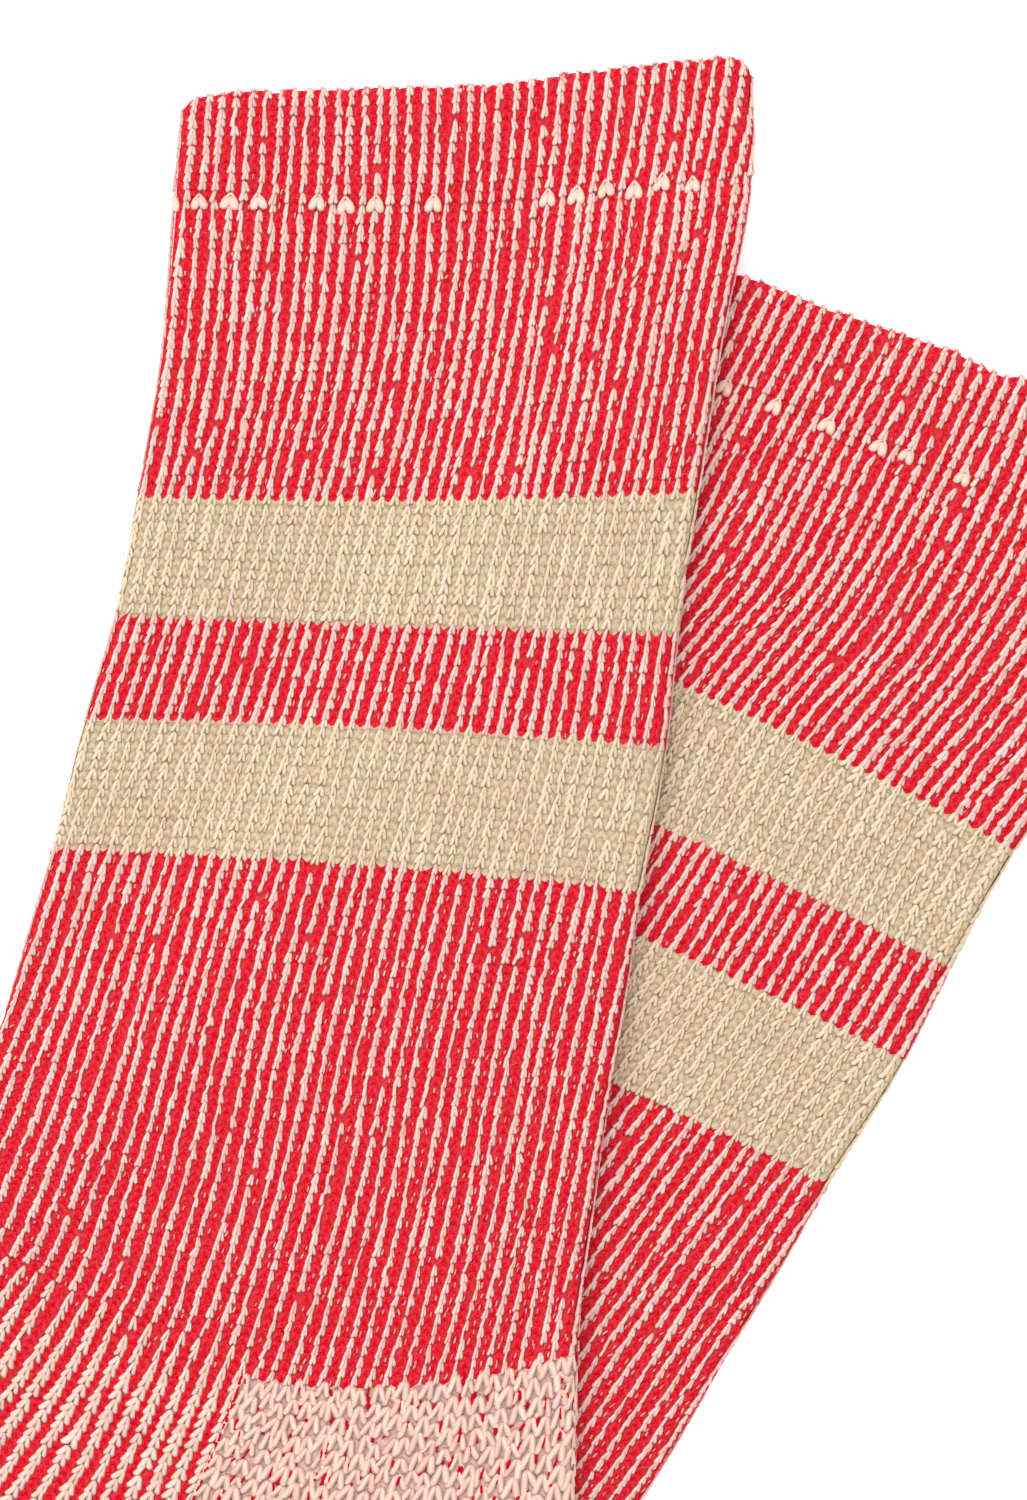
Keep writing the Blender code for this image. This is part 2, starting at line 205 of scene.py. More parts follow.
def sockPoints(sock, q, c, proud):
    lip = knit["wall"] / 2
    around = np.mod(c / knit["ribs"], 2)
    share, wave = np.array(sock["cuffWave"]).T
    scallop = cuffEdge["scallop"] * np.cos(2 * np.pi * (c - knit["crest"]))
    rise = np.interp(1 - abs(1 - around), share, wave) + scallop
    rise = (rise + np.interp(c, np.arange(-2, 2 * knit["ribs"] + 2), sock["ripple"])) * mm
    rise = rise - cuffEdge["underBack"] * np.sin(math.pi * np.clip(around - 1, 0, 1)) ** 0.5
    roll = np.clip(q / lip, -math.pi / 2, math.pi / 2)
    rolled = q < quarterLip
    down = np.where(rolled, lip - (lip + proud) * np.cos(roll), q - quarterLip + lip)
    down -= rise * np.exp(-np.maximum(down, 0) / cuffEdge["fades"])
    proud = np.where(rolled, (lip + proud) * np.sin(roll) - lip, proud)
    past = np.clip(down - sock["end"], 0, knit["toeRound"] * 0.995)
    down = np.minimum(down, sock["end"] + knit["toeRound"])
    flatten = np.sqrt(1 - (past / knit["toeRound"]) ** 2)
    width = np.interp(down, sock["ticks"], sock["widths"])
    height = layersHeight(np.maximum(down, 0))
    radius = height / 2
    turn = math.pi * radius / 2
    under = around > 1
    along = np.where(under, around - 1, around) * (2 * turn + width - height)
    front = np.clip(along / radius, 0, math.pi / 2)
    back = np.clip((along - turn - (width - height)) / radius, 0, math.pi / 2)
    flat = np.clip(along - turn, 0, width - height)
    across = radius + flat + (radius + proud) * (np.sin(back) - np.cos(front))
    up = (radius + proud) * (np.sin(front) + np.cos(back) - 1)
    across = np.where(under, width - across, across)
    up = np.where(under, -up, up) * flatten
    plan = planPoints(sock, down, across / width)
    return np.column_stack((plan, radius + up + restHeight(sock, plan)))


# What a sock lies on: the floor, or the other sock and the slope down beside it
def restHeight(sock, plan):
    if "drape" not in sock:
        return np.zeros(len(plan))
    drape = sock["drape"]
    heights = drape["heights"]
    cell = np.clip((plan - drape["corner"]) / drape["step"], 0, np.array(heights.shape) - 1.001)
    i, j = cell.astype(int).T
    x, y = (cell % 1).T
    near = heights[i, j] * (1 - x) + heights[i + 1, j] * x
    far = heights[i, j + 1] * (1 - x) + heights[i + 1, j + 1] * x
    return near * (1 - y) + far * y


def lineDistance(points, line):
    start = line[:-1]
    along = line[1:] - start
    toPoint = points[:, None] - start[None]
    t = np.clip((toPoint * along).sum(axis=2) / (along ** 2).sum(axis=1), 0, 1)
    return np.linalg.norm(toPoint - t[..., None] * along, axis=2).min(axis=1)


def isInside(points, outline):
    run = np.roll(outline, -1, axis=0) - outline
    ends = outline + run
    spans = (outline[:, 1] > points[:, 1:]) != (ends[:, 1] > points[:, 1:])
    toPoint = points[:, None] - outline[None]
    side = toPoint[..., 0] * run[:, 1] - toPoint[..., 1] * run[:, 0]
    return (spans & ((side < 0) == (run[:, 1] > 0))).sum(axis=1) % 2 == 1


def layOver(sock, other):
    folds = rowPoints(other, np.linspace(0, other["end"], 120))
    toe = planPoints(other, np.full(5, other["end"]), np.linspace(0.15, 0.85, 5))
    edge = np.concatenate((folds[:, 0], toe, folds[::-1, 2]))
    cuff = planPoints(other, np.zeros(9), np.linspace(0, 1, 9))
    margin = 12 * mm
    corner = sock["rows"].reshape(-1, 2).min(axis=0) - margin
    reach = sock["rows"].reshape(-1, 2).max(axis=0) + margin - corner
    step = 2 * mm
    counts = (reach / step).astype(int) + 2
    grid = np.meshgrid(np.arange(counts[0]) * step, np.arange(counts[1]) * step, indexing="ij")
    points = np.stack(grid, axis=2).reshape(-1, 2) + corner
    away = lineDistance(points, np.vstack((edge, edge[:1])))
    away = np.where(isInside(points, edge), 0, away)
    top = layersHeight(knit["mouthDepth"]) + knit["ribHeight"] / 2 + knit["lapGap"]
    lift = knit["mouth"] - knit["hollow"] + knit["weltSwell"]
    top = top + lift * smoothStep(1.5 - lineDistance(points, cuff) / knit["mouthDepth"])
    heights = top * smoothStep(1 - (away - knit["ledge"]) / knit["ramp"])
    sock["drape"] = {"corner": corner, "step": step, "heights": heights.reshape(counts)}


for sock in (underSock, upperSock):
    readRows(sock)
layOver(upperSock, underSock)
print("rows read and the upper sock laid over the other")


# Nodes and colours
def addNode(tree, kind, settings=None, links=None):
    node = tree.nodes.new(kind)
    for name, value in (settings or {}).items():
        setattr(node, name, value)
    for name, value in (links or {}).items():
        if isinstance(value, bpy.types.NodeSocket):
            tree.links.new(value, node.inputs[name])
        else:
            node.inputs[name].default_value = value
    return node


def paint(hexCode):
    parts = [int(hexCode[i:i + 2], 16) / 255 for i in (1, 3, 5)]
    linear = [p / 12.92 if p <= 0.04045 else ((p + 0.055) / 1.055) ** 2.4 for p in parts]
    return (*linear, 1)


def newMaterial(name):
    material = bpy.data.materials.new(name)
    material.use_nodes = True
    tree = material.node_tree
    tree.nodes.clear()
    return material, tree


# Combed cotton with no gloss: rough, and a soft pale sheen where its fibres stand off
def finishCotton(tree, colour, bump, roughness, sheen, sheenTint):
    shader = addNode(tree, "ShaderNodeBsdfPrincipled", links={
        "Base Color": colour,
        "Roughness": roughness,
        "IOR": 1.5,
        "Specular IOR Level": 0.08,
        "Sheen Weight": sheen,
        "Sheen Roughness": 0.5,
        "Sheen Tint": sheenTint,
        "Normal": bump,
    })
    addNode(tree, "ShaderNodeOutputMaterial", links={"Surface": shader.outputs["BSDF"]})


# A cream stitch runs from its light colour on top to its shade colour low down: that is painted shade
combedYarn = {
    "light": "#F6DCD1",
    "shade": "#E4938C",           # painted shade and bounced red light low on each stitch, with some red fibre mixed in
    "stripeLight": "#E9D8C0",
    "stripeShade": "#D6BE9A",
}
# Darker than the leg's cream: partly painted shade, where the light falls off over the instep and heel
plaitedYarn = {
    "light": "#EFDACC",
    "shade": "#E6AEA0",
    "stripeLight": "#EDD8C4",
    "stripeShade": "#D8B8A2",
}


def creamCotton(name, yarn):
    material, tree = newMaterial(name)
    uv = addNode(tree, "ShaderNodeUVMap", {"uv_map": "yarn"})
    tone = addNode(tree, "ShaderNodeAttribute", {"attribute_name": "tone"})
    stripe = addNode(tree, "ShaderNodeAttribute", {"attribute_name": "stripe"})
    along = addNode(tree, "ShaderNodeMapping", {"vector_type": "TEXTURE"}, {
        "Vector": uv.outputs["UV"],
        "Rotation": (0.0, 0.0, 0.55),
        "Scale": (0.15, 0.7, 1.0),
    })
    fibres = addNode(tree, "ShaderNodeTexNoise", links={
        "Vector": along.outputs["Vector"],
        "Scale": 1.0,
        "Detail": 3.0,
        "Roughness": 0.65,
        "Distortion": 0.6,
    })
    mixed = addNode(tree, "ShaderNodeMath", {"operation": "MULTIPLY_ADD"}, {
        0: fibres.outputs["Fac"],
        1: 0.9,
        2: tone.outputs["Fac"],
    })
    # From the shade colour to the light one by fibres and tone; tone carries the painted shade of each
    # stitch's low sides
    cream = addNode(tree, "ShaderNodeValToRGB", links={"Fac": mixed.outputs["Value"]})
    cream.color_ramp.elements[0].position = 0.15
    cream.color_ramp.elements[0].color = paint(yarn["shade"])
    cream.color_ramp.elements[1].position = 0.85
    cream.color_ramp.elements[1].color = paint(yarn["light"])
    dull = addNode(tree, "ShaderNodeValToRGB", links={"Fac": mixed.outputs["Value"]})
    dull.color_ramp.elements[0].position = 0.15
    dull.color_ramp.elements[0].color = paint(yarn["stripeShade"])
    dull.color_ramp.elements[1].position = 0.85
    dull.color_ramp.elements[1].color = paint(yarn["stripeLight"])
    colour = addNode(tree, "ShaderNodeMix", {"data_type": "RGBA"}, {
        "Factor": stripe.outputs["Fac"],
        "A": cream.outputs["Color"],
        "B": dull.outputs["Color"],
    })
    bump = addNode(tree, "ShaderNodeBump", links={
        "Height": fibres.outputs["Fac"],
        "Strength": 1.0,
        "Distance": 0.2 * mm,
    })
    finishCotton(tree, colour.outputs["Result"], bump.outputs["Normal"], 0.85, 0.3, paint("#FFE9DE"))
    return material


# Brushed cotton between the cream wales: slanting stitches half lost in tufts and pits, fine fibre
# ends over them, a few pale hairs, and paler towards each cream wale, whose fuzz lies over it
def brushedCotton(name, yarn):
    material, tree = newMaterial(name)
    uv = addNode(tree, "ShaderNodeUVMap", {"uv_map": "knit"})
    inMm = addNode(tree, "ShaderNodeVectorMath", {"operation": "MULTIPLY"}, {
        0: uv.outputs["UV"],
        1: (knit["pitch"] / mm, knit["course"] / mm, 1.0),
    })
    clumps = addNode(tree, "ShaderNodeTexNoise", links={
        "Vector": inMm.outputs["Vector"],
        "Scale": 1 / yarn["clump"],
        "Detail": 4.0,
        "Roughness": 0.7,
        "Distortion": 1.2,
    })
    fibreEnds = addNode(tree, "ShaderNodeTexNoise", links={
        "Vector": inMm.outputs["Vector"],
        "Scale": 1 / yarn["fibre"],
        "Detail": 2.0,
        "Distortion": 2.0,
    })
    parts = addNode(tree, "ShaderNodeSeparateXYZ", links={"Vector": uv.outputs["UV"]})
    offWale = addNode(tree, "ShaderNodeMath", {"operation": "ADD"}, {
        0: parts.outputs["X"],
        1: -knit["crest"],
    })
    fromWale = addNode(tree, "ShaderNodeMath", {"operation": "PINGPONG"}, {
        0: offWale.outputs["Value"],
        1: 0.5,
    })
    slanted = addNode(tree, "ShaderNodeMath", {"operation": "MULTIPLY_ADD"}, {
        0: fromWale.outputs["Value"],
        1: 1.6,
        2: parts.outputs["Y"],
    })
    shifted = addNode(tree, "ShaderNodeMath", {"operation": "MULTIPLY_ADD"}, {
        0: clumps.outputs["Fac"],
        1: 1.5,
        2: slanted.outputs["Value"],
    })
    loops = addNode(tree, "ShaderNodeMath", {"operation": "PINGPONG"}, {
        0: shifted.outputs["Value"],
        1: 0.5,
    })
    tufts = addNode(tree, "ShaderNodeMath", {"operation": "MULTIPLY_ADD"}, {
        0: loops.outputs["Value"],
        1: yarn["loops"],
        2: clumps.outputs["Fac"],
    })
    height = addNode(tree, "ShaderNodeMath", {"operation": "MULTIPLY_ADD"}, {
        0: fibreEnds.outputs["Fac"],
        1: 0.45,
        2: tufts.outputs["Value"],
    })
    # The colour follows the height of the knit: the pit and deep colours low down are painted shade in its
    # pits and between its stitches
    colour = addNode(tree, "ShaderNodeValToRGB", links={"Fac": height.outputs["Value"]})
    ramp = colour.color_ramp
    ramp.elements[0].position = 0.65
    ramp.elements[0].color = paint(yarn["deep"])
    ramp.elements[1].position = 1.0
    ramp.elements[1].color = paint(yarn["fuzz"])
    middle = ramp.elements.new(0.80)
    middle.color = paint(yarn["body"])
    lowest = ramp.elements.new(0.56)
    lowest.color = paint(yarn["pitShade"])
    field = addNode(tree, "ShaderNodeTexNoise", links={
        "Vector": inMm.outputs["Vector"],
        "Scale": 0.9,
        "Detail": 1.0,
        "Distortion": 2.5,
    })
    offLine = addNode(tree, "ShaderNodeMath", {"operation": "SUBTRACT"}, {0: field.outputs["Fac"], 1: 0.5})
    distance = addNode(tree, "ShaderNodeMath", {"operation": "ABSOLUTE"}, {0: offLine.outputs["Value"]})
    line = addNode(tree, "ShaderNodeMapRange", links={
        "Value": distance.outputs["Value"],
        "From Max": 0.012,
        "To Min": yarn["hairs"],
        "To Max": 0.0,
    })
    haired = addNode(tree, "ShaderNodeMix", {"data_type": "RGBA"}, {
        "Factor": line.outputs["Result"],
        "A": colour.outputs["Color"],
        "B": paint(yarn["hair"]),
    })
    ragged = addNode(tree, "ShaderNodeMath", {"operation": "MULTIPLY_ADD"}, {
        0: height.outputs["Value"],
        1: -0.8,
        2: fromWale.outputs["Value"],
    })
    wale = addNode(tree, "ShaderNodeMapRange", links={
        "Value": ragged.outputs["Value"],
        "From Min": -0.44,
        "From Max": -0.22,
        "To Min": yarn["waleShare"],
        "To Max": 0.0,
    })
    coloured = addNode(tree, "ShaderNodeMix", {"data_type": "RGBA"}, {
        "Factor": wale.outputs["Result"],
        "A": haired.outputs["Result"],
        "B": paint(yarn["halo"]),
    })
    bump = addNode(tree, "ShaderNodeBump", links={
        "Height": height.outputs["Value"],
        "Strength": 1.0,
        "Distance": 0.24 * mm,
    })
    finishCotton(tree, coloured.outputs["Result"], bump.outputs["Normal"], 0.95, yarn["sheen"],
                 paint(yarn["hair"]))
    return material


# The pit and deep colours of each yarn are painted shade low in the knit
redYarn = {
    "pitShade": "#8A0E18",
    "deep": "#C2001A",
    "body": "#EA0022",
    "fuzz": "#F02038",
    "hair": "#F4A6A2",
    "halo": "#EA7478",         # where the cream yarn's fuzz lies over it
    "clump": 0.42,             # mm across a tuft of its fuzz
    "fibre": 0.11,             # mm between the fibre ends
    "loops": 0.42,             # how deep its stitches are, against the tufts
    "hairs": 0.3,
    "sheen": 0.0,
    "waleShare": 0.22,
}
beigeYarn = {
    "pitShade": "#8A744C",
    "deep": "#B0956C",
    "body": "#D8BD98",
    "fuzz": "#E6D0B2",
    "hair": "#F4EADA",
    "halo": "#DFCBAC",
    "clump": 0.42,
    "fibre": 0.11,
    "loops": 0.6,
    "hairs": 0.45,
    "sheen": 0.1,
    "waleShare": 0.8,
}
soleYarn = {
    "pitShade": "#E09A90",
    "deep": "#E8B6AA",
    "body": "#EECABF",
    "fuzz": "#F2D8CC",
    "hair": "#FBEEE0",
    "halo": "#EED2C0",
    "clump": 0.42,
    "fibre": 0.11,
    "loops": 0.12,
    "hairs": 0.3,
    "sheen": 0.1,
    "waleShare": 0.0,
}

cream = creamCotton("combedCottonCream", combedYarn)
plaited = creamCotton("plaitedCottonCream", plaitedYarn)
red = brushedCotton("brushedCottonRed", redYarn)
beige = brushedCotton("brushedCottonBeige", beigeYarn)
sole = brushedCotton("brushedCottonCream", soleYarn)
print("cottons mixed")


# Meshes
def buildMesh(name, points, corners, starts, materials):
    mesh = bpy.data.meshes.new(name)
    mesh.vertices.add(len(points))
    mesh.vertices.foreach_set("co", np.ascontiguousarray(points, dtype=np.float32).ravel())
    mesh.loops.add(len(corners))
    mesh.loops.foreach_set("vertex_index", corners.astype(np.int32))
    mesh.polygons.add(len(starts))
    mesh.polygons.foreach_set("loop_start", starts.astype(np.int32))
    for material in materials:
        mesh.materials.append(material)
    mesh.update(calc_edges=True)
    mesh.shade_smooth()
    piece = bpy.data.objects.new(name, mesh)
    bpy.context.scene.collection.objects.link(piece)
    return piece


def addUv(mesh, name, values):
    layer = mesh.uv_layers.new(name=name)
    layer.uv.foreach_set("vector", np.ascontiguousarray(values, dtype=np.float32).ravel())


def addValue(mesh, name, values):
    layer = mesh.attributes.new(name, "FLOAT", "POINT")
    layer.data.foreach_set("value", np.ascontiguousarray(values, dtype=np.float32))


# How the wales run. The tube lies a little twisted: below the cuff its wales run over the front
# fold, and from the heel on those at the front of the instep bend over it faster. In the cuff
# those at the back fan out
waleRun = {
    "twistFrom": 50 * mm,      # below the cuff's base the twist gathers pace here
    "twistEase": 15 * mm,
    "slowTwist": 0.8,
    "bendSlope": 0.18,         # mm aside for a mm down
    "bendAbove": 12 * mm,      # the bend starts this far above the heel
    "bendEase": 12 * mm,
    "bendReach": 35 * mm,
    "cuffShift": 0.18,         # ribs
    "cuffEase": 8 * mm,
    "fanFrom": 0.35,           # as a share of the way from fold to fold
    "fanWidth": 0.6,
    "fanBack": 20,             # ribs of the underside over which the fan dies out
}


# How many ribs a wale has wandered towards the back fold
def leanAt(sock, q, c):
    ribs = knit["ribs"]
    twistFrom = waleRun["twistFrom"]
    twistEase = waleRun["twistEase"]
    heelTop = sock["at"]["heelTop"] - sock["at"]["weltBase"]
    below = np.minimum(q - sock["at"]["weltBase"], heelTop)
    steep = np.log1p(np.exp((np.array((heelTop, 0)) - twistFrom) / twistEase))
    whole = waleRun["slowTwist"] * heelTop / twistFrom + steep[0] - steep[1]
    down = np.maximum(below, 0)
    faster = np.log1p(np.exp((down - twistFrom) / twistEase)) - steep[1]
    twist = waleRun["slowTwist"] * down / twistFrom + faster
    up = -np.minimum(below, 0)
    fan = smoothStep((c / ribs - waleRun["fanFrom"]) / waleRun["fanWidth"])
    fan = fan * smoothStep((2 * ribs - c) / waleRun["fanBack"])
    shift = waleRun["cuffShift"] * (1 - np.exp(-up / waleRun["cuffEase"]))
    fanned = sock["cuffFan"] * fan * up / knit["pitch"]
    front = smoothStep(2 * abs(np.mod(c - knit["twist"], 2 * ribs) / ribs - 1) - 1)
    past = np.maximum(q - sock["at"]["heelTop"] + waleRun["bendAbove"], 0)
    eased = past * past / (past + waleRun["bendEase"])
    reach = waleRun["bendReach"]
    bent = waleRun["bendSlope"] * front * reach * (1 - np.exp(-eased / reach)) / knit["pitch"]
    return shift + fanned - bent - knit["twist"] * twist / whole


def isFoot(sock, q, placed):
    sole = (placed > knit["ribs"] / 2) & (placed < 1.5 * knit["ribs"])
    return (q > sock["at"]["heelTop"]) & sole | (q > sock["at"]["toeStart"])


def isStripe(sock, q):
    at = sock["at"]
    first = (q > at["stripe1Top"]) & (q < at["stripe1End"])
    return first | (q > at["stripe2Top"]) & (q < at["stripe2End"])


def onFace(placed, margin):
    around = np.mod(placed + margin, 2 * knit["ribs"])
    return around < knit["ribs"] + 2 * margin


shell = {
    "phases": (0.25, 0.5, 0.75, 1.0),     # points of each rib, and how proud they stand in mm
    "heights": (-0.28, -0.04, 0.08, -0.04),
    "ringStep": 2.9 * mm,
    "innerStep": 14 * mm,
    "underPoints": 24,
    "innerPoints": 60,
    "zigzag": 0.4 * mm,        # red wales end in points where a stripe starts
    "footSunk": 0.12 * mm,     # the ground of the plain knit lies this low
    "toeFade": 6 * mm,         # over which the ribs run out at the toe
    "middle": 0.12,            # ribs from a face's first corner to its middle
}


# The cloth itself, all round: ribbed face, plain underside, rolled lip and inner face
def knitTube(sock):
    at = sock["at"]
    end = sock["end"] + quarterLip - knit["wall"] / 2
    marks = [at[name] for name in ("weltBase", "stripe1Top", "stripe1End", "stripe2Top",
                                   "stripe2End", "heelTop", "toeStart")]
    tuck = knit["tuckHalfWidth"]
    welt = [at["weltBase"] + side * tuck for side in (-1, 0, 1)]
    stops = [quarterLip] + welt + marks[1:] + [end]
    qs = [a * quarterLip for a in (-1, -0.5, 0, 0.33, 0.67)]
    for near, far in zip(stops, stops[1:]):
        count = max(1, round((far - near) / shell["ringStep"]))
        qs += [near + (far - near) * i / count for i in range(count)]
    qs += [end + knit["toeRound"] * s for s in (0, 0.35, 0.65, 0.88, 0.995)]
    qs = np.array(qs)
    ribs = knit["ribs"]
    ribbed = ribs + knit["twist"] + 1
    faceC = np.array([k + p for k in range(ribbed) for p in shell["phases"]]) - 0.25
    heights = np.tile(shell["heights"], ribbed)
    underC = ribbed + (np.arange(shell["underPoints"]) + 0.5) / shell["underPoints"] * (2 * ribs - ribbed)
    c = np.concatenate((faceC, underC))
    heights = np.concatenate((heights, np.zeros(len(underC)))) * mm
    q, c = np.meshgrid(qs, c, indexing="ij")
    placed = c + knit["crest"] + leanAt(sock, q, c)
    face = onFace(placed, 0.5)
    proud = np.where(face, heights, 0)
    proud = np.where(isFoot(sock, q, placed), -shell["footSunk"], proud)
    swell = knit["weltSwell"] * (q < at["weltBase"]) * (q > 0)
    groove = knit["tuckGroove"] * smoothStep(1 - abs(q - at["weltBase"]) / tuck)
    proud = proud + np.where(face, swell - groove, 0)
    proud = proud * smoothStep((end - q) / shell["toeFade"] + 0.4)
    edge = np.zeros_like(q)
    for mark in marks[1:6]:
        edge += (abs(q - mark) < 0.01 * mm) * np.cos(2 * np.pi * (c - 0.5)) * shell["zigzag"]
    placedQ = q + np.where(face, edge, 0)
    points = sockPoints(sock, placedQ.ravel(), placed.ravel(), proud.ravel())

    innerQ = np.arange(quarterLip, end - knit["wall"], shell["innerStep"])
    innerQ = np.concatenate((innerQ, (end - knit["wall"],)))
    innerC = (np.arange(shell["innerPoints"]) + 0.5) / shell["innerPoints"] * 2 * ribs
    iq, ic = np.meshgrid(innerQ, innerC, indexing="ij")
    inner = sockPoints(sock, iq.ravel(), ic.ravel(), np.full(iq.size, -knit["wall"]))
    return q, c, placed, points, iq, ic, inner


def gridFaces(rows, count, first, flip):
    i = np.arange(rows - 1)[:, None] * count
    j = np.arange(count)[None]
    after = (j + 1) % count
    quads = np.stack((i + j, i + count + j, i + count + after, i + after), axis=2)
    quads = quads.reshape(-1, 4) + first
    return quads[:, ::-1] if flip else quads


# Joins two rings by how far round the tube their points are
def bridgeRings(outer, inner, outerAt, innerAt):
    turn = 2 * knit["ribs"]
    outerAt = np.concatenate((outerAt, (outerAt[0] + turn, math.inf)))
    innerAt = np.concatenate((innerAt, (innerAt[0] + turn, math.inf)))
    faces = []
    i = j = 0
    while i < len(outer) or j < len(inner):
        near = outer[i % len(outer)]
        far = inner[j % len(inner)]
        if outerAt[i] + outerAt[i + 1] < innerAt[j] + innerAt[j + 1]:
            i += 1
            faces.append((near, outer[i % len(outer)], far))
        else:
            j += 1
            faces.append((near, inner[j % len(inner)], far))
    return faces


def closeRing(ring, centre, flip):
    pairs = zip(ring, np.roll(ring, -1))
    return [(a, b, centre) if flip else (b, a, centre) for a, b in pairs]


def buildShell(sock):
    q, c, placed, points, iq, ic, inner = knitTube(sock)
    rows, count = q.shape
    innerRows, innerCount = iq.shape
    first = len(points)
    outerQuads = gridFaces(rows, count, 0, False)
    innerQuads = gridFaces(innerRows, innerCount, first, True)
    lastOuter = np.arange(count) + (rows - 1) * count
    lastInner = np.arange(innerCount) + (innerRows - 1) * innerCount + first
    tips = np.array((points[lastOuter].mean(axis=0), inner[lastInner - first].mean(axis=0)))
    outerTip = first + len(inner)
    tris = bridgeRings(np.arange(count), np.arange(innerCount) + first, placed[0], ic[0])
    tris += closeRing(lastOuter, outerTip, False)
    tris += closeRing(lastInner, outerTip + 1, True)
    tris = np.array(tris)
    allPoints = np.concatenate((points, inner, tips))
    corners = np.concatenate((outerQuads.ravel(), innerQuads.ravel(), tris.ravel()))
    quadCount = len(outerQuads) + len(innerQuads)
    starts = np.concatenate((np.arange(quadCount) * 4, quadCount * 4 + np.arange(len(tris)) * 3))
    piece = buildMesh(sock["node"] + "_knit", allPoints, corners, starts, (red, beige, sole))

    chartQ = np.concatenate((q.ravel(), iq.ravel(), (q[-1, 0], iq[-1, 0]))) / knit["course"]
    chartC = np.concatenate((c.ravel() + knit["crest"], ic.ravel(), (0, 0)))
    chart = np.column_stack((chartC, chartQ))[corners]
    highest = np.maximum.reduceat(chart[:, 0], starts)
    sizes = np.diff(np.append(starts, len(corners)))
    wraps = np.repeat(highest, sizes) - chart[:, 0] > knit["ribs"]
    chart[wraps, 0] += 2 * knit["ribs"]
    addUv(piece.data, "knit", chart)

    middleQ = (q[:-1] + q[1:]) / 2
    middleC = np.mod(placed[:-1] + shell["middle"], 2 * knit["ribs"])
    slots = np.zeros(middleQ.shape, dtype=int)
    slots[isStripe(sock, middleQ)] = 1
    slots[isFoot(sock, middleQ, middleC)] = 2
    whole = np.concatenate((slots.ravel(), np.zeros(len(innerQuads) + len(tris), dtype=int)))
    piece.data.polygons.foreach_set("material_index", whole.astype(np.int32))
    sock["shell"] = piece


for sock in (underSock, upperSock):
    buildShell(sock)
print("shells knitted")


# A mesh's faces in a fixed order, because a new sphere can list them in another order in the
# next run. Each keeps its own first corner, which decides the line that it is split along
def orderedFaces(mesh, corners):
    faces = [list(polygon.loop_indices) for polygon in mesh.polygons]
    return sorted(faces, key=lambda loops: [corners[i] for i in loops])


# One leg of a stitch, shaped from a sphere: each level from the cuff end to the toe end
# has its place x y z, width and thickness in mm
def modelYarn(name, levels, sides):
    bpy.ops.object.select_all(action="DESELECT")
    turned = (-math.pi / 2, 0, 0)
    bpy.ops.mesh.primitive_uv_sphere_add(segments=sides, ring_count=len(levels) - 1,
                                         radius=0.5, rotation=turned)
    yarn = bpy.context.object
    yarn.name = name
    bpy.ops.object.transform_apply(location=False, rotation=True, scale=False)
    depths = np.array([v.co.y for v in yarn.data.vertices])
    steps = sorted(set(np.round(depths, 3)), reverse=True)
    bpy.ops.object.mode_set(mode="EDIT")
    for step, (x, y, z, width, thickness) in zip(steps, levels):
        grid = bmesh.from_edit_mesh(yarn.data)
        grid.verts.ensure_lookup_table()
        ring = []
        for vertex in grid.verts:
            vertex.select_set(abs(depths[vertex.index] - step) < 0.01)
            if vertex.select:
                ring.append(vertex.co.copy())
        grid.select_flush_mode()
        bmesh.update_edit_mesh(yarn.data)
        middle = sum(ring[1:], ring[0]) / len(ring)
        across = 2 * max((corner - middle).length for corner in ring)
        if across > 0.01:
            growth = (width / across, 1, thickness / across)
            bpy.ops.transform.resize(value=growth, center_override=middle)
        bpy.ops.transform.translate(value=(x - middle.x, y - middle.y, z - middle.z))
    bpy.ops.object.mode_set(mode="OBJECT")
    mesh = yarn.data
    corners = np.zeros(len(mesh.loops), dtype=np.int32)
    mesh.loops.foreach_get("vertex_index", corners)
    uvs = np.zeros(len(mesh.loops) * 2, dtype=np.float32)
    mesh.uv_layers.active.uv.foreach_get("vector", uvs)
    faces = orderedFaces(mesh, corners)
    order = np.concatenate(faces)
    pattern = {
        "points": np.array([v.co for v in mesh.vertices]),
        "corners": corners[order],
        "starts": np.cumsum([0] + [len(loops) for loops in faces[:-1]]),
        "uvs": uvs.reshape(-1, 2)[order],
    }
    bpy.data.objects.remove(yarn, do_unlink=True)
    bpy.data.meshes.remove(mesh)
    return pattern


# Copies of one yarn along the knit. Each place has q, c, how many mm of q a mm is, sizes, a turn,
# a lift, and tones for the material. A stitch is painted darker low down, as painted shade, and each has
# its own fibres
stitchTone = {
    "own": 0.5,                # how much of its place's tone it takes
    # painted shade: how much darker a stitch is painted low down
    "paintedShade": 0.8,
    "level": 0.75,             # neither darker nor lighter at this share of its height
    "fibreShift": 37.0,
}


